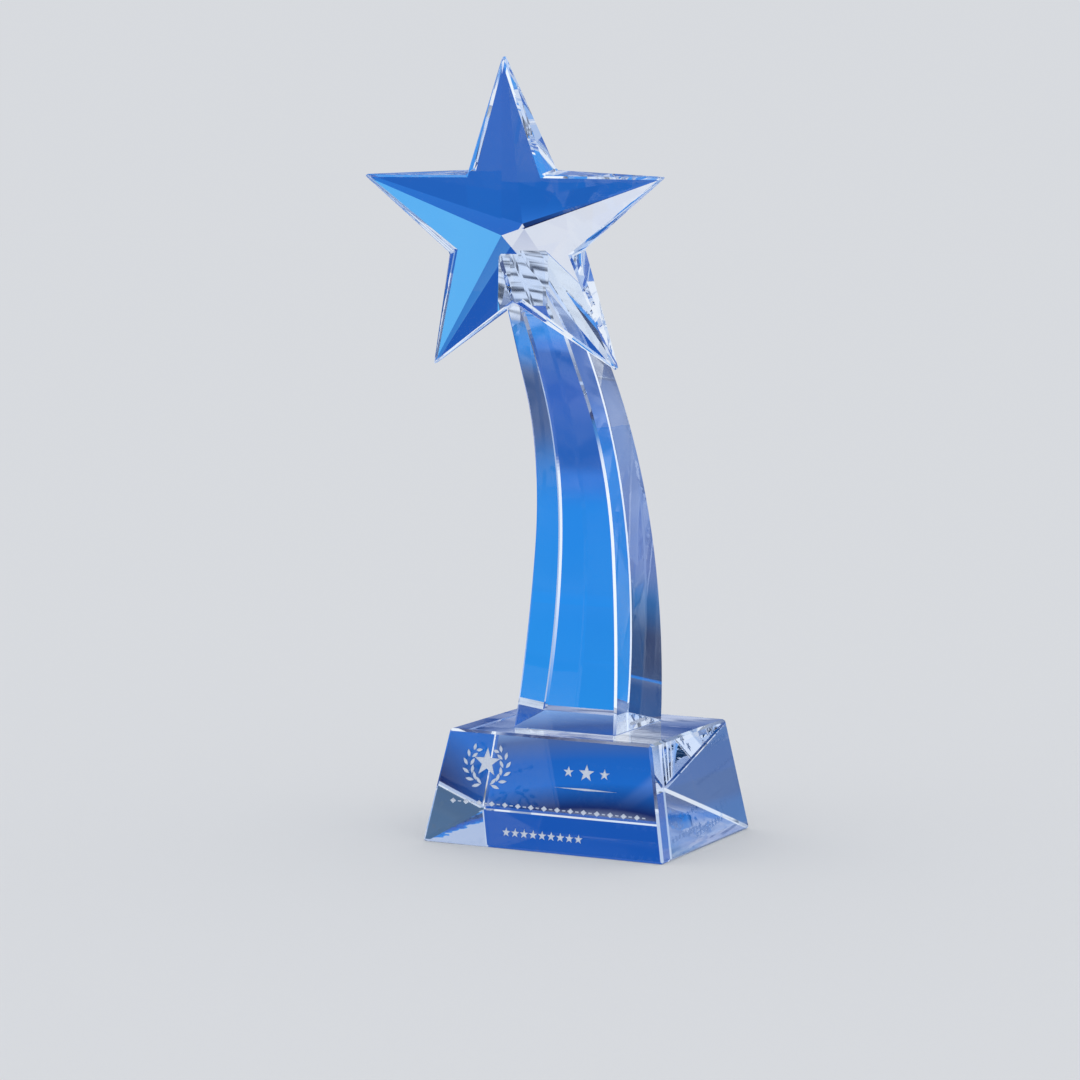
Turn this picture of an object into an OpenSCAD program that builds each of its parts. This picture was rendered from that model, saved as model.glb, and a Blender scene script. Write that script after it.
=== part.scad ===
// Star award: a five-pointed crystal star on a bowed, tapering crystal column,
// standing on a solid crystal block. The three blocks are bonded face to face.
// X is the width (+X to the right), Y the depth (-Y is the front), +Z up.
// The origin is the centre of the base block's bottom face. Millimetres.

/* [Whole award] */
// Height from the bottom face to the tip of the star
total_h = 260; // [250:1:270]

/* [Base block] */
// Length of the bottom face
base_w = 88; // [80:1:100]
// Depth of the bottom face
base_d = 74; // [66:1:84]
// Height of the block
base_h = 38; // [34:1:42]
// Length of the top face
base_top_w = 73.4; // [60:0.1:78]
// Depth of the top face
base_top_d = 63.4; // [56:0.1:66]
// Width of the polished bevels on the block's edges
bevel = 0.8; // [0.4:0.1:1.5]

/* [Column] */
// Width of the column's foot
foot_w = 37.4; // [34:0.1:40]
// Angle by which each side closes in on the way up
side_taper = 3.9; // [3:0.1:4.5]
// Depth position of the front face where it stands straight up
front_y = -13.8; // [-15:0.1:-12]
// Height at which the front face stands straight up
front_z = 98.6; // [90:0.1:105]
// Radius of the front face's bow below that height
front_low_r = 298; // [250:1:400]
// Radius of the front face's bow above that height
front_top_r = 96.7; // [92:0.1:105]
// Height at which the front face runs on straight
front_straight_z = 152.5; // [148:0.1:156]
// Depth position of the back face where it stands straight up
back_y = 21.9; // [20:0.1:24]
// Height at which the back face stands straight up
back_z = 70; // [66:1:74]
// Radius of the back face's bow
back_r = 149.2; // [145:0.1:155]
// Height at which the back face runs on straight
back_straight_z = 184; // [182:0.1:187]

/* [Star] */
// Distance from the star's centre to a tip
star_r = 55.5; // [52:0.1:58]
// Distance from the star's centre to an inner corner
star_inner_r = 22.5; // [20:0.1:25]
// Thickness at the centre
star_mid_t = 21; // [18:0.1:24]
// Thickness at the tips
star_tip_t = 2.8; // [2:0.1:4]
// How far the star leans forward from upright
star_lean = 10; // [8:0.5:12]
// How far the star's centre stands in front of the base's centre
star_reach = 59.8; // [58:0.1:62]

/* [Adhesive] */
// Thickness of the cured clear adhesive
bond_t = 0.2; // [0.1:0.05:0.4]
// How far the adhesive stops short of the glued face's edges
bond_inset = 1; // [0.5:0.1:2]

/* [Hidden] */
crystal = [0.62, 0.80, 0.95, 0.45];
adhesive = [0.90, 0.95, 1.00, 0.60];
$fn = 96;
far = 400;                                  // larger than the whole award
points = 5;
step = 360 / points;
// height of the star's centre, so that its top tip ends at total_h
star_z = total_h - star_r * cos(star_lean) - star_tip_t / 2 * sin(star_lean);
// the facets' slope: full thickness at the centre, tip thickness at the pentagon's sides
facet_run = star_r * cos(step / 2);
facet_angle = atan2((star_mid_t - star_tip_t) / 2, facet_run);
foot_z = base_h + bond_t;
// slope of the base's sides, in from the vertical
base_side_x = atan2((base_w - base_top_w) / 2, base_h);
base_side_y = atan2((base_d - base_top_d) / 2, base_h);
// where the front face runs straight. The stretch leans a little less than the bow does
// there, so that the two surfaces cross cleanly, and it starts just inside the bow.
rise = front_straight_z - front_z;
straight_y = front_y - front_top_r + sqrt(front_top_r * front_top_r - rise * rise);
crossing = 0.6;
overlap = 0.7;
straight_lean = asin(rise / front_top_r) - crossing;
straight_end_y = straight_y - (total_h - front_straight_z) * tan(straight_lean);
// the same for the back face
back_rise = back_straight_z - back_z;
back_start_y = back_y - back_r + sqrt(back_r * back_r - back_rise * back_rise);
back_lean = asin(back_rise / back_r) - crossing;
back_end_y = back_start_y - (total_h - back_straight_z) * tan(back_lean);

// everything on the far side of the plane whose unit normal is n, at distance d
module beyond(n, d) {
    rotate([0, acos(n.z), atan2(n.y, n.x)])
        translate([-far, -far, d]) cube(2 * far);
}

// a trapezium with small bevels at its corners: half widths b below and t above
function bevelled(b, t, h, c) = [
    [b - c, 0], [b - c * (b - t) / h, c], [t + c * (b - t) / h, h - c], [t - c, h],
    [-t + c, h], [-t - c * (b - t) / h, h - c], [-b + c * (b - t) / h, c], [-b + c, 0]
];

// the base: two bevelled trapeziums crossed, its four sloping corners bevelled too
module base_block() color(crystal)
    difference() {
        intersection() {
            translate([0, base_d, 0]) rotate([90, 0, 0]) linear_extrude(2 * base_d)
                polygon(bevelled(base_w / 2, base_top_w / 2, base_h, bevel));
            rotate([90, 0, 90]) translate([0, 0, -base_w]) linear_extrude(2 * base_w)
                polygon(bevelled(base_d / 2, base_top_d / 2, base_h, bevel));
        }
        for (sx = [-1, 1], sy = [-1, 1]) {
            n = [sx * cos(base_side_x), sy * cos(base_side_y),
                 sin(base_side_x) + sin(base_side_y)];
            u = n / norm(n);
            beyond(u, u * [sx * base_w / 2, sy * base_d / 2, 0] - bevel / sqrt(2));
        }
    }

// side view of the column (Y across, Z up) before its top end is cut
module column_side() {
    difference() {
        union() {
            intersection() {
                translate([back_y - back_r, back_z]) circle(back_r, $fn = 360);
                translate([-far / 2, 0]) square([far, total_h]);
            }
            polygon([
                [back_start_y + overlap * tan(back_lean), back_straight_z - overlap],
                [back_end_y, total_h],
                [-far / 2, total_h], [-far / 2, back_straight_z - overlap]
            ]);
        }
        intersection() {
            translate([front_y - front_low_r, front_z]) circle(front_low_r, $fn = 720);
            translate([-2 * far, front_z - far]) square([2 * far, far]);
        }
        intersection() {
            translate([front_y - front_top_r, front_z]) circle(front_top_r, $fn = 360);
            translate([-2 * far, front_z]) square([2 * far, far]);
        }
        polygon([
            [straight_y + overlap * tan(straight_lean), front_straight_z - overlap],
            [straight_end_y, total_h],
            [-far, total_h], [-far, front_straight_z - overlap]
        ]);
    }
}

// the column's bowed and tapering bar, held in by m on its sides
module column_bar(m = 0) {
    intersection() {
        rotate([90, 0, 90]) translate([0, 0, -far / 2]) linear_extrude(far)
            column_side();
        translate([0, far / 2, foot_z]) rotate([90, 0, 0]) linear_extrude(far)
            polygon([
                [foot_w / 2 - m, -foot_z], [-foot_w / 2 + m, -foot_z],
                [-foot_w / 2 + m, 0],
                [-foot_w / 2 + m + (total_h - foot_z) * tan(side_taper), total_h - foot_z],
                [foot_w / 2 - m - (total_h - foot_z) * tan(side_taper), total_h - foot_z],
                [foot_w / 2 - m, 0]
            ]);
    }
}

// puts a shape drawn on the star's own axes (Y up the star, Z towards the back) in place
module on_star() {
    translate([0, -star_reach, star_z]) rotate([90 + star_lean, 0, 0]) mirror([0, 0, 1])
        children();
}

function star_outline(tip, inner) = [
    for (k = [0 : 2 * points - 1])
        let (r = k % 2 == 0 ? tip : inner, a = 90 + k * step / 2) [r * cos(a), r * sin(a)]
];

// everything behind the star's lower back facet, moved back by g
module behind_facet(g = 0) {
    on_star() beyond([0, -sin(facet_angle), cos(facet_angle)],
                     star_mid_t / 2 * cos(facet_angle) + g);
}

// the column: foot on the base's bond, top end cut to lie on the star's back facet
module column() color(crystal)
    intersection() {
        column_bar();
        behind_facet(bond_t);
        translate([-far / 2, -far / 2, foot_z]) cube([far, far, far]);
    }

// the star: a star-shaped prism with five sloping facets on each face
module star() color(crystal) on_star()
    difference() {
        translate([0, 0, -star_mid_t / 2]) linear_extrude(star_mid_t)
            polygon(star_outline(star_r, star_inner_r));
        for (k = [0 : points - 1], side = [-1, 1]) {
            a = 90 + (k + 0.5) * step;
            beyond([cos(a) * sin(facet_angle), sin(a) * sin(facet_angle),
                    side * cos(facet_angle)],
                   star_mid_t / 2 * cos(facet_angle));
        }
    }

// adhesive between the base and the column's foot
module base_bond() color(adhesive)
    translate([-foot_w / 2 + bond_inset, -base_foot_front() + bond_inset, base_h])
        cube([foot_w - 2 * bond_inset, base_foot_depth() - 2 * bond_inset, bond_t]);

// how far the foot reaches in front of the origin, and its depth
function base_foot_front() =
    front_low_r - front_y - sqrt(pow(front_low_r, 2) - pow(front_z - foot_z, 2));
function base_foot_depth() =
    base_foot_front() + back_y - back_r + sqrt(pow(back_r, 2) - pow(back_z - foot_z, 2));

// adhesive between the column's top end and the star, only where they meet
module star_bond() color(adhesive)
    intersection() {
        difference() {
            behind_facet(0);
            behind_facet(bond_t);
        }
        on_star() linear_extrude(far / 2)
            polygon(star_outline(star_r - 3 * bond_inset, star_inner_r - bond_inset));
        translate([0, 0, -bond_inset]) column_bar(bond_inset);
        column_bar();
    }

base_block();
base_bond();
column();
star_bond();
star();
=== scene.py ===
"""Looks of the crystal star award. Metres, in the CAD model's frame: -Y is the front."""
import math

import bmesh
import bpy
from mathutils import Matrix, Vector


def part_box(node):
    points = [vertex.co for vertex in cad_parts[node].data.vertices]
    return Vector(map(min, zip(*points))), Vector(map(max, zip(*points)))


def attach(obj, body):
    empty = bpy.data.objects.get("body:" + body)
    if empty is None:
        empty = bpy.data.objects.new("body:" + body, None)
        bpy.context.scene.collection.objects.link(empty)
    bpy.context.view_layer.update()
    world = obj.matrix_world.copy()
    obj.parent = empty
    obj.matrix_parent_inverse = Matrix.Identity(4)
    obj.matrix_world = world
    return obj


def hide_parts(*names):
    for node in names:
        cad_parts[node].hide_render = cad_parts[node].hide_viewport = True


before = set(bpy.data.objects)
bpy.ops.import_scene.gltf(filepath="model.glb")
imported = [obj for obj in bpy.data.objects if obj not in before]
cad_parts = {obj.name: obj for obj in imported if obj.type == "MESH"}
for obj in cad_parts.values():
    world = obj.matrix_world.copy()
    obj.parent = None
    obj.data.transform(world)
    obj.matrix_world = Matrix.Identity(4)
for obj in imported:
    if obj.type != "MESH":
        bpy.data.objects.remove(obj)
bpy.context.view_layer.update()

MM = 0.001

# ---- sizes that the boxes of the CAD nodes give
base_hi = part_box("base_block")[1]
column_lo, column_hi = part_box("column")
star_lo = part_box("star")[0]

# ---- the column's bowed sides, as in the CAD source
FRONT_Y, FRONT_Z = -13.8 * MM, 98.6 * MM
FRONT_LOW_R, FRONT_TOP_R = 298 * MM, 96.7 * MM
STRAIGHT_Z = 152.5 * MM
CROSSING = math.radians(0.6)
BACK_Y, BACK_Z, BACK_R = 21.9 * MM, 70 * MM, 149.2 * MM
BACK_STRAIGHT_Z = 184 * MM
SIDE_TAPER = math.radians(3.9)
FOOT_HALF = column_hi.x
COLUMN_RINGS = 120
# the column's cut end is the only part of it that is this far forward
CUT_END_Y = -49 * MM
COLUMN_BEVEL = 0.75 * MM
STAR_BEVEL = 0.6 * MM
# the star's two lower points end below the first height, and the corner between them,
# on its centre line, lies below the second
LOWER_POINTS_Z = 165 * MM
LOWER_CORNER_Z = 190 * MM
# the glued faces lie within this distance of where they are looked for
FACE_REACH = 60 * MM


def new_object(name, bm, materials):
    """A mesh object from bm with these materials."""
    mesh = bpy.data.meshes.new(name)
    bm.to_mesh(mesh)
    bm.free()
    for m in materials:
        mesh.materials.append(m)
    ob = bpy.data.objects.new(name, mesh)
    bpy.context.scene.collection.objects.link(ob)
    return ob


def cad_solid(name):
    """The CAD node's mesh as a bmesh, its flat faces each made whole."""
    bm = bmesh.new()
    bm.from_mesh(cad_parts[name].data)
    bmesh.ops.remove_doubles(bm, verts=bm.verts, dist=0.005 * MM)
    bmesh.ops.dissolve_limit(
        bm, angle_limit=math.radians(0.5), verts=bm.verts, edges=bm.edges
    )
    bmesh.ops.recalc_face_normals(bm, faces=bm.faces)
    return bm


def bevel_sharp(bm, width, least_angle, test=lambda e: True):
    """One flat bevel on each edge that turns by more than least_angle degrees."""
    edges = [
        e
        for e in bm.edges
        if e.is_manifold
        and e.calc_face_angle(0) > math.radians(least_angle)
        and test(e)
    ]
    bmesh.ops.bevel(
        bm,
        geom=edges,
        offset=width,
        offset_type="OFFSET",
        segments=1,
        affect="EDGES",
        clamp_overlap=True,
    )


def split_face(bm, faces, point, normal):
    """Cuts these faces along a plane and leaves the rest of the mesh's shape as it is."""
    geom = set(faces)
    for f in faces:
        geom.update(f.edges)
        geom.update(f.verts)
    bmesh.ops.bisect_plane(
        bm, geom=list(geom), dist=1e-7, plane_co=point, plane_no=normal
    )


# ---- camera, at the photograph's viewing angle
TARGET = Vector((-19.1 * MM, 0, 99.3 * MM))
DISTANCE = 1.206
YAW, PITCH, ROLL = map(math.radians, (25.6, 6.0, 0.54))
LENS = 118.8


def make_camera():
    look = Vector(
        (
            -math.sin(YAW) * math.cos(PITCH),
            math.cos(YAW) * math.cos(PITCH),
            -math.sin(PITCH),
        )
    )
    right = Vector((math.cos(YAW), math.sin(YAW), 0))
    up = right.cross(look)
    right, up = (
        math.cos(ROLL) * right + math.sin(ROLL) * up,
        math.cos(ROLL) * up - math.sin(ROLL) * right,
    )
    turn = Matrix((right, up, -look)).transposed().to_4x4()
    data = bpy.data.cameras.new("camera")
    data.lens, data.sensor_width = LENS, 36
    ob = bpy.data.objects.new("camera", data)
    ob.matrix_world = Matrix.Translation(TARGET - look * DISTANCE) @ turn
    bpy.context.scene.collection.objects.link(ob)
    bpy.context.scene.camera = ob


# ---- node helpers
def node(nt, kind, **settings):
    n = nt.nodes.new(kind)
    for key, value in settings.items():
        setattr(n, key, value)
    return n


def plug(nt, socket, value):
    """Links value into socket, or sets it there if it is a plain number or colour."""
    if isinstance(value, bpy.types.NodeSocket):
        nt.links.new(value, socket)
    else:
        socket.default_value = value


def calc(nt, operation, *values):
    n = node(nt, "ShaderNodeMath", operation=operation)
    for socket, value in zip(n.inputs, values):
        plug(nt, socket, value)
    return n.outputs[0]


def blend_colour(nt, factor, under, over):
    n = node(nt, "ShaderNodeMix", data_type="RGBA")
    for k, value in ((0, factor), (6, under), (7, over)):
        plug(nt, n.inputs[k], value)
    return n.outputs[2]


def fade(nt, value, zero_at, one_at, low=0.0, high=1.0):
    """low where value is zero_at, high where it is one_at, smooth between them."""
    n = node(nt, "ShaderNodeMapRange", interpolation_type="SMOOTHSTEP")
    for k, v in enumerate((value, zero_at, one_at, low, high)):
        plug(nt, n.inputs[k], v)
    return n.outputs[0]


def noise(nt, scale, detail=3.0):
    """Noise with this many cells to a metre, in the object's own coordinates."""
    n = node(nt, "ShaderNodeTexNoise")
    plug(nt, n.inputs["Vector"], node(nt, "ShaderNodeTexCoord").outputs["Object"])
    plug(nt, n.inputs["Scale"], scale)
    plug(nt, n.inputs["Detail"], detail)
    return n.outputs[0]


def rgb(code, gain=1.0):
    """A linear colour from a six-digit sRGB code."""
    parts = [int(code[k : k + 2], 16) / 255 for k in (0, 2, 4)]
    linear = [c / 12.92 if c < 0.04045 else ((c + 0.055) / 1.055) ** 2.4 for c in parts]
    return (*(gain * c for c in linear), 1)


# ---- materials
def new_material(name):
    m = bpy.data.materials.new(name)
    m.use_nodes = True
    return m, m.node_tree, m.node_tree.nodes["Principled BSDF"]


def crystal(name):
    """Clear optical crystal: faintly blue in the mass, polished, with a trace of lapping."""
    m, nt, p = new_material(name)
    tint = blend_colour(nt, fade(nt, noise(nt, 45), 0.35, 0.65), rgb("f4f9ff"), rgb("eef6ff"))
    plug(nt, p.inputs["Base Color"], tint)
    plug(nt, p.inputs["Roughness"], 0.0)
    plug(nt, p.inputs["IOR"], 1.52)
    plug(nt, p.inputs["Transmission Weight"], 1.0)
    waves = node(nt, "ShaderNodeBump")
    plug(nt, waves.inputs["Strength"], 0.012)
    plug(nt, waves.inputs["Distance"], 0.2 * MM)
    plug(nt, waves.inputs["Height"], noise(nt, 120, 1.0))
    plug(nt, p.inputs["Normal"], waves.outputs[0])
    return m


def see_through(name, haze):
    """Clear all the way through, with a milky trace of the given strength in patches."""
    m, nt, p = new_material(name)
    clear = node(nt, "ShaderNodeBsdfTransparent")
    plug(nt, clear.inputs[0], rgb("fafcff"))
    plug(nt, p.inputs["Base Color"], rgb("f2f6fc"))
    plug(nt, p.inputs["Roughness"], 0.5)
    mix = node(nt, "ShaderNodeMixShader")
    plug(nt, mix.inputs[0], fade(nt, noise(nt, 160), 0.4, 0.75, 0.0, haze))
    plug(nt, mix.inputs[1], clear.outputs[0])
    plug(nt, mix.inputs[2], p.outputs[0])
    plug(nt, nt.nodes["Material Output"].inputs["Surface"], mix.outputs[0])
    return m


def frosted():
    """The sandblasted floor of the engraving: white, matt and finely grained."""
    m, nt, p = new_material("frosted_cut")
    grain = noise(nt, 2600)
    plug(nt, p.inputs["Base Color"], blend_colour(nt, grain, rgb("c9d8ee"), rgb("ffffff")))
    plug(nt, p.inputs["Roughness"], fade(nt, grain, 0.3, 0.7, 0.55, 0.85))
    plug(nt, p.inputs["IOR"], 1.52)
    plug(nt, p.inputs["Transmission Weight"], 0.15)
    bump = node(nt, "ShaderNodeBump")
    plug(nt, bump.inputs["Strength"], 0.35)
    plug(nt, bump.inputs["Distance"], 0.05 * MM)
    plug(nt, bump.inputs["Height"], grain)
    plug(nt, p.inputs["Normal"], bump.outputs[0])
    return m


CRYSTAL, CONTACT, FROSTED = 0, 1, 2
glass = {n: crystal(n + "_crystal") for n in ("base", "column", "star")}
contact = see_through("optical_contact", 0.0)
adhesive = see_through("clear_adhesive", 0.05)
frost = frosted()


# ---- the column
def bow(z, y, middle_z, radius, straight_z):
    """Depth at height z of a face that bows round and runs on straight above straight_z."""
    on_bow = min(z, straight_z) - middle_z
    y += math.sqrt(radius**2 - on_bow**2) - radius
    lean = math.asin(on_bow / radius) - CROSSING
    return y - max(z - straight_z, 0) * math.tan(lean)


def front_y(z):
    radius = FRONT_TOP_R if z > FRONT_Z else FRONT_LOW_R
    return bow(z, FRONT_Y, FRONT_Z, radius, STRAIGHT_Z)


def back_y(z):
    return bow(z, BACK_Y, BACK_Z, BACK_R, BACK_STRAIGHT_Z)


def half_width(z):
    return FOOT_HALF - (z - column_lo.z) * math.tan(SIDE_TAPER)


def column_end():
    """Heights at which the CAD column's cut end meets its front and its back."""
    co = [v.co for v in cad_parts["column"].data.vertices]
    tip_back = max(co, key=lambda c: c.z)
    tip_front = min(co, key=lambda c: c.y)
    return tip_front.z, tip_back.z


def bowed_bar(bm):
    """The bar's faces, ring by ring. Returns the faces of its foot and its cut end."""
    z0 = column_lo.z
    front_top, back_top = column_end()
    rings = []
    for i in range(COLUMN_RINGS + 1):
        t = i / COLUMN_RINGS
        zf, zb = z0 + (front_top - z0) * t, z0 + (back_top - z0) * t
        yf, yb, wf, wb = front_y(zf), back_y(zb), half_width(zf), half_width(zb)
        rings.append(
            [
                bm.verts.new(c)
                for c in ((-wf, yf, zf), (wf, yf, zf), (wb, yb, zb), (-wb, yb, zb))
            ]
        )
    for a, b in zip(rings, rings[1:]):
        for k in range(4):
            bm.faces.new((a[k], a[(k + 1) % 4], b[(k + 1) % 4], b[k]))
    return bm.faces.new(rings[0][::-1]), bm.faces.new(rings[-1])


def cut_end_faces(bm):
    return [
        f
        for f in bm.faces
        if f.normal.y < -0.9 and f.calc_center_median().y < CUT_END_Y
    ]


def mark_column_contact(bm):
    """Makes the foot, and the cut end where the star covers it, the optical contact."""
    for f in bm.faces:
        if f.normal.z < -0.99:
            f.material_index = CONTACT
    for point, plane_normal in crotch_sides():
        split_face(bm, cut_end_faces(bm), point, plane_normal)
    for f in cut_end_faces(bm):
        middle = f.calc_center_median()
        if any((middle - p).dot(n) < 0 for p, n in crotch_sides()):
            f.material_index = CONTACT


def make_column():
    bm = bmesh.new()
    foot, end = bowed_bar(bm)
    bmesh.ops.recalc_face_normals(bm, faces=bm.faces)
    ends = set(foot.edges) | set(end.edges)
    bevel_sharp(bm, COLUMN_BEVEL, 30, lambda e: e not in ends)
    bm.normal_update()
    mark_column_contact(bm)
    for f in bm.faces:
        if f.material_index == CRYSTAL and abs(f.normal.x) < 0.2:
            f.smooth = True
    for e in bm.edges:
        if e.is_manifold and e.calc_face_angle(0) > math.radians(10):
            e.smooth = False
    return new_object("column_glass", bm, [glass["column"], contact])


# ---- the faces that the adhesive joins, where light goes straight through
def end_sides():
    """Three planes round the column's cut end: a point and an outward normal for each."""
    _, back_top = column_end()
    lean = Vector((math.cos(SIDE_TAPER), 0, math.sin(SIDE_TAPER)))
    at = Vector((half_width(back_top), 0, back_top))
    mirror = Vector((-1, 1, 1))
    return [(at, lean), (at * mirror, lean * mirror), (at, Vector((0, 0, 1)))]


def crotch_sides():
    """Two planes along the star's lower inner edges. What lies below both is outside it."""
    co = {tuple(round(c, 6) for c in v.co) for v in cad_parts["star"].data.vertices}
    back = [Vector(c) for c in co if c[1] > star_lo.y]
    inner = max((c for c in back if abs(c.x) < MM and c.z < LOWER_CORNER_Z), key=lambda c: c.y)
    tips = [
        max((c for c in back if c.z < LOWER_POINTS_Z and c.x * s > 0), key=lambda c: c.y)
        for s in (-1, 1)
    ]
    planes = []
    for tip in tips:
        along = tip - inner
        across = Vector((along.z, 0, -along.x)).normalized()
        planes.append((inner, across if across.z < 0 else -across))
    return planes


def mark_inside(faces, planes):
    """Makes the faces that lie behind all of these planes the optical contact."""
    for f in faces:
        middle = f.calc_center_median()
        if all((middle - p).dot(n) < 0 for p, n in planes):
            f.material_index = CONTACT


def facing(bm, normal, near):
    """The faces that face along normal and whose middle is near this point."""
    return [
        f
        for f in bm.faces
        if f.normal.dot(normal) > 0.995
        and (f.calc_center_median() - near).length < FACE_REACH
    ]


# ---- the star
def make_star():
    bm = cad_solid("star")
    bevel_sharp(bm, STAR_BEVEL, 50)
    bm.normal_update()
    normal, near = Vector((0, 1, -0.025)), Vector((0, -50 * MM, 180 * MM))
    for point, plane_normal in end_sides():
        split_face(bm, facing(bm, normal, near), point, plane_normal)
    mark_inside(facing(bm, normal, near), end_sides())
    return new_object("star_glass", bm, [glass["star"], contact])


# ---- the base
def foot_sides():
    """Four planes round the column's foot on the base's top face."""
    y_front, y_back = front_y(column_lo.z), back_y(column_lo.z)
    return [
        (Vector((FOOT_HALF, 0, 0)), Vector((1, 0, 0))),
        (Vector((-FOOT_HALF, 0, 0)), Vector((-1, 0, 0))),
        (Vector((0, y_front, 0)), Vector((0, -1, 0))),
        (Vector((0, y_back, 0)), Vector((0, 1, 0))),
    ]


def make_base():
    bm = cad_solid("base_block")
    up, near = Vector((0, 0, 1)), Vector((0, 0, base_hi.z))
    for point, plane_normal in foot_sides():
        split_face(bm, facing(bm, up, near), point, plane_normal)
    mark_inside(facing(bm, up, near), foot_sides())
    return new_object("base_glass", bm, [glass["base"], contact, frost])


# ---- the engraving on the base's front: flat shapes in millimetres on the sloping face,
# across from its middle and down from its top edge
ENGRAVED_DEPTH = 0.25 * MM
CUTTER_REACH = 0.6 * MM
# square metres: the base's bevels are all smaller than this
LARGE_FACE = 1e-3


def star_shape(x, y, outer, inner):
    shape = []
    for k in range(10):
        r, turn = (outer, inner)[k % 2], math.radians(36 * k)
        shape.append((x + r * math.sin(turn), y - r * math.cos(turn)))
    return shape


def leaf_shape(x, y, turn, length, width, steps=6):
    """A leaf from its stalk at (x, y), turned clockwise from upright by turn degrees."""
    c, s = math.cos(math.radians(turn)), math.sin(math.radians(turn))
    right = [(width / 2 * math.sin(math.pi * k / steps), length * k / steps) for k in range(steps)]
    outline = right + [(0, length)] + [(-w, h) for w, h in reversed(right[1:])]
    return [(x + w * c + h * s, y + w * s - h * c) for w, h in outline]


def bar_shape(x0, y0, x1, y1):
    return [(x0, y0), (x1, y0), (x1, y1), (x0, y1)]


def laurel_shapes(x, y, radius, leaves=6):
    """Two sprigs that rise from (x, y + radius) round the circle about (x, y)."""
    shapes = []
    for side in (-1, 1):
        for k in range(leaves):
            turn = 165 - k * 24
            at = math.radians(turn)
            px, py = x + side * radius * math.sin(at), y - radius * math.cos(at)
            for out in (1, -1):
                lean = side * (turn - 90 + 32 * out)
                size = 3.4 - 0.2 * k
                shapes.append(leaf_shape(px + side * 0.55 * out * math.sin(at), py, lean, size, 1.1))
    return shapes


def engraved_shapes():
    shapes = [star_shape(-22, 9.5, 5.0, 2.0)]
    shapes += laurel_shapes(-22, 10.5, 6.6)
    for x, size in ((8, 1.9), (14.5, 2.9), (21, 1.9)):
        shapes.append(star_shape(x, 10.2, size, size * 0.4))
    shapes.append([(3, 15.6), (14.5, 15.25), (26, 15.6), (14.5, 15.95)])
    for k in range(-7, 8):
        x = 4.8 * k
        shapes.append([(x, 22.2), (x + 1.1, 23.1), (x, 24.0), (x - 1.1, 23.1)])
        shapes.append(bar_shape(x + 1.8, 22.9, x + 3.0, 23.3))
    shapes += [star_shape(3.3 * k, 32, 1.6, 0.66) for k in range(-4, 5)]
    return shapes


def engraved_face(mesh):
    """The middle of the front face's top edge, the way down the face and the way out."""
    face = min(mesh.polygons, key=lambda p: p.center.y if p.area > LARGE_FACE else 1)
    out = face.normal.copy()
    down = Vector((1, 0, 0)).cross(out)
    down *= -1 if down.z > 0 else 1
    corners = [mesh.vertices[v].co for v in face.vertices]
    top = Vector((0, max(c.y for c in corners), max(c.z for c in corners)))
    return top, down, out


def make_cutter(mesh):
    """The engraved shapes as short prisms that reach into the base's front face."""
    top, down, out = engraved_face(mesh)
    bm = bmesh.new()
    for shape in engraved_shapes():
        rings = []
        for reach in (-ENGRAVED_DEPTH, CUTTER_REACH):
            spots = [top + Vector((x * MM, 0, 0)) + down * y * MM + out * reach for x, y in shape]
            rings.append([bm.verts.new(c) for c in spots])
        bm.faces.new(rings[0][::-1])
        bm.faces.new(rings[1])
        for k in range(len(shape)):
            n = (k + 1) % len(shape)
            bm.faces.new((rings[0][k], rings[0][n], rings[1][n], rings[1][k]))
    bmesh.ops.recalc_face_normals(bm, faces=bm.faces)
    for f in bm.faces:
        f.material_index = FROSTED
    return new_object("cutter", bm, [glass["base"], contact, frost])


def engrave(base_object):
    """Cuts the shapes into the base's front face."""
    cutter = make_cutter(base_object.data)
    cut = base_object.modifiers.new("engraving", "BOOLEAN")
    cut.operation, cut.solver, cut.object = "DIFFERENCE", "EXACT", cutter
    cut.use_self = True
    bpy.context.view_layer.update()
    shown = base_object.evaluated_get(bpy.context.evaluated_depsgraph_get())
    mesh = bpy.data.meshes.new_from_object(shown)
    base_object.modifiers.clear()
    base_object.data = mesh
    bpy.data.objects.remove(cutter)


make_camera()
star = make_star()
column = make_column()
base = make_base()
for piece, cad_node, record_slot in (
    (star, "star", "star_crystal"),
    (column, "column", "column_crystal"),
    (base, "base_block", "base_crystal"),
):
    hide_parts(cad_node)
    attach(piece, "root")
for name in ("base_bond", "star_bond"):
    for material_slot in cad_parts[name].material_slots:
        material_slot.material = adhesive


# ---- the studio. The floor and the light are plain and pale. Clear crystal has no colour
# of its own: the blue backdrop, a glowing sheet with painted light and shade on it, and the sky
# are what it shows and mirrors, and only crystal sees them. With BLUE_SET off the crystal sees the
# pale studio itself.
BLUE_SET = True
PALE = rgb("eef1f6")
FLOOR_TONE = 0.80
FLOOR_HALF = 8.0
FLOOR_GAP = 0.1 * MM
BACKDROP_GAP = 0.3 * MM
# The sheet glows. It is pale under the award, with painted shade in deep blue round it and a painted
# lit ring, azure from 0.16 m and deep blue again from 0.85 m: (distance from the award in metres,
# colour).
BACKDROP = [
    (0.0, "e6ecf6"),
    (0.035, "c0cce4"),
    (0.041, "102868"),
    (0.057, "061a50"),
    (0.078, "1c80ea"),
    (0.11, "0e3c88"),
    (0.135, "a0c0ec"),
    (0.16, "2c98ec"),
    (0.6, "2c90ea"),
    (0.75, "3c80dc"),
    (0.85, "2162ba"),
    (1.6, "3264be"),
    (6.0, "3088e0"),
]
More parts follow.
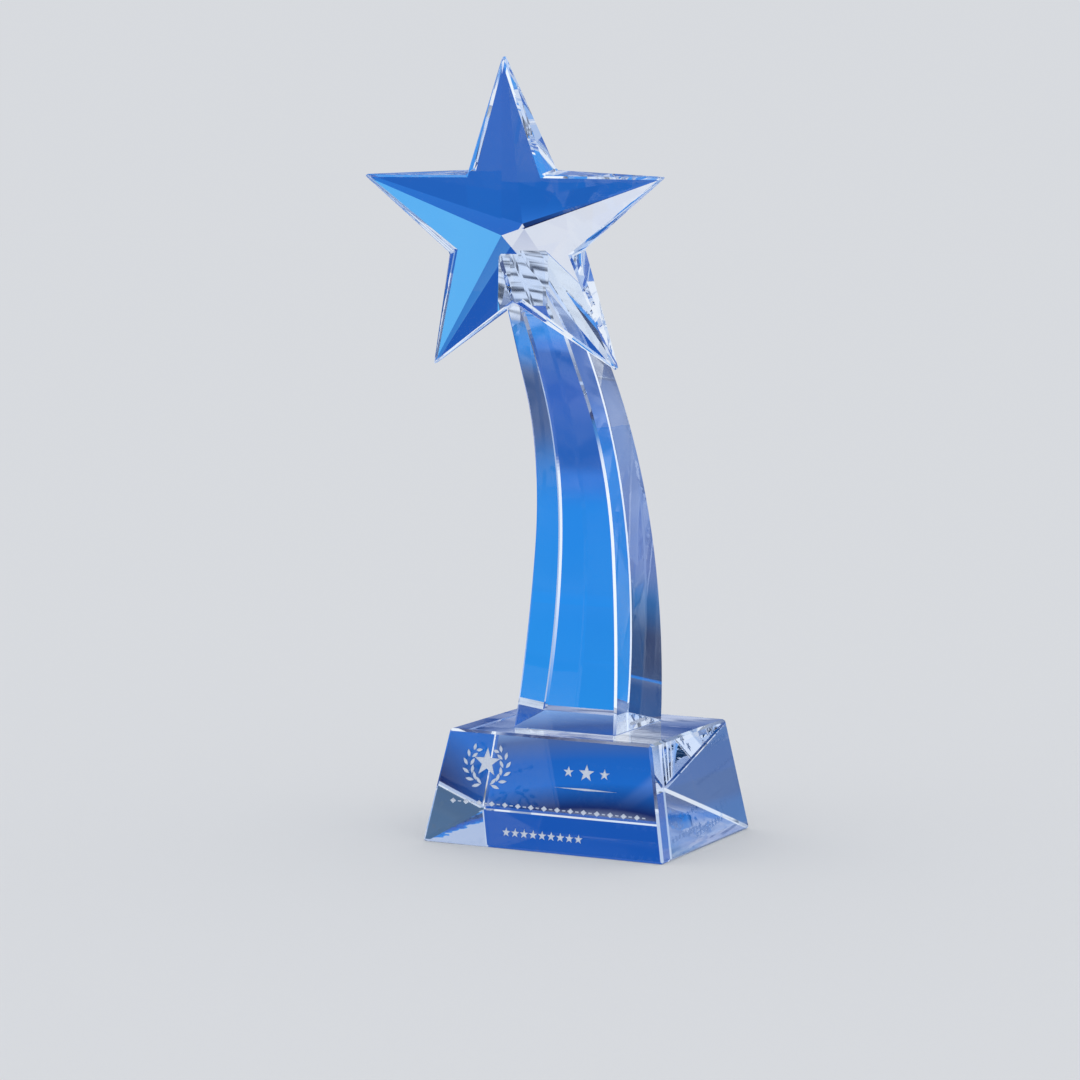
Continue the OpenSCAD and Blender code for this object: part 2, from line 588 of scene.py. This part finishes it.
# Painted screens of light and painted shade: (azimuth, distance or elevation), half size, softness,
# colour, brightness. Azimuth is in degrees, 0 behind the award and positive to its right.
BACKDROP_PAINTED_SCREENS_AND_SHADE = [
    ((25, 1.05), (11, 0.45), (5, 0.15), "405a8a", 1.0),
    ((-54, 0.4), (6.5, 0.34), (2.5, 0.06), "f6f9ff", 1.15),
    ((3, 0.5), (3.5, 0.36), (2, 0.1), "f4f8ff", 1.1),
    ((-96, 0.12), (24, 0.05), (8, 0.015), "f0f1f4", 1.05),
    ((100, 0.5), (48, 0.46), (16, 0.05), "b4c8ea", 1.0),
    ((-160, 1.6), (38, 1.4), (14, 0.15), "343f60", 1.0),
    ((-150, 0.12), (14, 0.07), (5, 0.03), "8094c8", 1.0),
    ((-40, 2.0), (3, 0.6), (2, 0.3), "1a2450", 1.0),
]
SKY = [
    (0, "b8c6e2"),
    (20, "c8d6ee"),
    (34, "f4f7fd"),
    (90, "ffffff"),
]
SKY_PATCHES = [
    ((-17, 4), (22, 18), (5, 7), "1c5ab6", 1.0),
    ((-15, 4), (5, 4), (4, 2), "66bcf8", 1.0),
    ((8, 30), (8, 6), (4, 3), "7ab4de", 1.0),
    ((21, 17), (5, 5), (3, 3), "56708e", 1.0),
    ((-40, 3), (16, 4.5), (2, 1.5), "e8e8ee", 1.03),
    ((-62, 30), (14, 12), (6, 5), "f4f7fc", 1.1),
    ((-153, 42), (14, 11), (5, 5), "2c3c66", 1.0),
    ((-153, 25), (9, 6), (4, 4), "5c76a8", 1.0),
    ((-153, 8), (9, 10), (4, 4), "28386a", 1.0),
    ((-174, 14), (8, 6), (4, 3), "f4f8ff", 1.15),
    ((150, 20), (24, 12), (8, 6), "f0f3f9", 1.1),
]
# Under the award the sheet is mottled with bars, which show in the window at the column's
# end: their reach and its softness outwards and inwards, in metres, their number to a metre
# from front to back, the share of it from side to side, and their two tones.
FOOT_REACH = 0.031
FOOT_SOFT_OUT, FOOT_SOFT_IN = 0.003, 0.004
MOTTLE_SCALE = 150.0
MOTTLE_SHARE = 0.2
MOTTLE_DARK, MOTTLE_PALE = "5c5f68", "fafafc"


def ramp(nt, value, stops):
    """A smooth colour ramp. stops are (value, colour)."""
    n = node(nt, "ShaderNodeValToRGB")
    n.color_ramp.interpolation = "EASE"
    scale = stops[-1][0]
    for k, (at, code) in enumerate(stops):
        e = n.color_ramp.elements[k] if k < 2 else n.color_ramp.elements.new(at / scale)
        e.position, e.color = at / scale, rgb(code)
    plug(nt, n.inputs[0], calc(nt, "DIVIDE", value, scale))
    return n.outputs[0]


def patched(nt, across, along, ground, patches):
    """ground with soft-edged rectangles over it."""
    colour = ground
    for middle, half, soft, code, gain in patches:
        inside = []
        for value, m, h, s in zip((across, along), middle, half, soft):
            away = calc(nt, "ABSOLUTE", calc(nt, "SUBTRACT", value, m))
            inside.append(fade(nt, away, h + s, max(h - s, 0)))
        colour = blend_colour(nt, calc(nt, "MULTIPLY", *inside), colour, rgb(code, gain))
    return colour


def split(nt, vector):
    """The parts of a vector, and its azimuth: 0 towards the back, positive to the right."""
    parts = node(nt, "ShaderNodeSeparateXYZ")
    plug(nt, parts.inputs[0], vector)
    x, y, z = parts.outputs
    return x, y, z, calc(nt, "DEGREES", calc(nt, "ARCTAN2", x, y))


def make_world():
    world = bpy.data.worlds.new("studio")
    bpy.context.scene.world = world
    world.use_nodes = True
    world.cycles.sampling_method = "NONE"
    nt = world.node_tree
    lit = node(nt, "ShaderNodeLightPath")
    _, _, z, azimuth = split(nt, node(nt, "ShaderNodeTexCoord").outputs["Generated"])
    elevation = calc(nt, "DEGREES", calc(nt, "ARCSINE", z))
    sky = PALE
    if BLUE_SET:
        sky = patched(nt, azimuth, elevation, ramp(nt, elevation, SKY), SKY_PATCHES)
    light = blend_colour(nt, lit.outputs["Is Diffuse Ray"], sky, PALE)
    wall = tuple(c * FLOOR_TONE for c in PALE[:3]) + (1,)
    seen = blend_colour(nt, lit.outputs["Is Camera Ray"], light, wall)
    plug(nt, nt.nodes["Background"].inputs["Color"], seen)


def stage_sheet(name, material, gap):
    bm = bmesh.new()
    bmesh.ops.create_grid(bm, x_segments=1, y_segments=1, size=FLOOR_HALF)
    ob = new_object(name, bm, [material])
    ob.location.z = -gap
    return ob


def make_floor():
    m, nt, p = new_material("pale_floor")
    plug(nt, p.inputs["Base Color"], (FLOOR_TONE, FLOOR_TONE, FLOOR_TONE, 1))
    plug(nt, p.inputs["Roughness"], 1.0)
    plug(nt, p.inputs["Specular IOR Level"], 0.0)
    floor = stage_sheet("floor", m, FLOOR_GAP)
    floor.visible_transmission = floor.visible_glossy = not BLUE_SET


def mottling(nt, x, y):
    """Dark and pale bars that run from side to side."""
    stretched = node(nt, "ShaderNodeCombineXYZ")
    plug(nt, stretched.inputs[0], calc(nt, "MULTIPLY", x, MOTTLE_SHARE))
    plug(nt, stretched.inputs[1], y)
    grain = node(nt, "ShaderNodeTexNoise")
    plug(nt, grain.inputs["Vector"], stretched.outputs[0])
    plug(nt, grain.inputs["Scale"], MOTTLE_SCALE)
    plug(nt, grain.inputs["Detail"], 2.0)
    pale = fade(nt, grain.outputs[0], 0.36, 0.54)
    return blend_colour(nt, pale, rgb(MOTTLE_DARK), rgb(MOTTLE_PALE))


def make_backdrop():
    m, nt, p = new_material("blue_backdrop_painted_light_and_shade")
    nt.nodes.remove(p)
    x, y, _, azimuth = split(nt, node(nt, "ShaderNodeNewGeometry").outputs["Position"])
    squares = calc(nt, "ADD", calc(nt, "MULTIPLY", x, x), calc(nt, "MULTIPLY", y, y))
    distance = calc(nt, "SQRT", squares)
    tones = patched(nt, azimuth, distance, ramp(nt, distance, BACKDROP), BACKDROP_PAINTED_SCREENS_AND_SHADE)
    under = fade(nt, distance, FOOT_REACH + FOOT_SOFT_OUT, FOOT_REACH - FOOT_SOFT_IN)
    # The sheet glows, and only crystal sees it. Its lit ring and screens are painted light; its deep
    # blue round the award and its shaded places are painted shade.
    glow = node(nt, "ShaderNodeEmission")
    plug(nt, glow.inputs["Color"], blend_colour(nt, under, tones, mottling(nt, x, y)))
    plug(nt, nt.nodes["Material Output"].inputs["Surface"], glow.outputs[0])
    m.cycles.emission_sampling = "NONE"
    backdrop = stage_sheet("blue_backdrop_painted_light_and_shade", m, BACKDROP_GAP)
    backdrop.visible_camera = False
    backdrop.visible_diffuse = False
    backdrop.visible_shadow = False


engrave(base)
make_world()
make_floor()
if BLUE_SET:
    make_backdrop()
scene = bpy.context.scene
scene.view_settings.view_transform = "Standard"
scene.cycles.max_bounces = 32
scene.cycles.transmission_bounces = 32
scene.cycles.glossy_bounces = 24
scene.cycles.transparent_max_bounces = 24
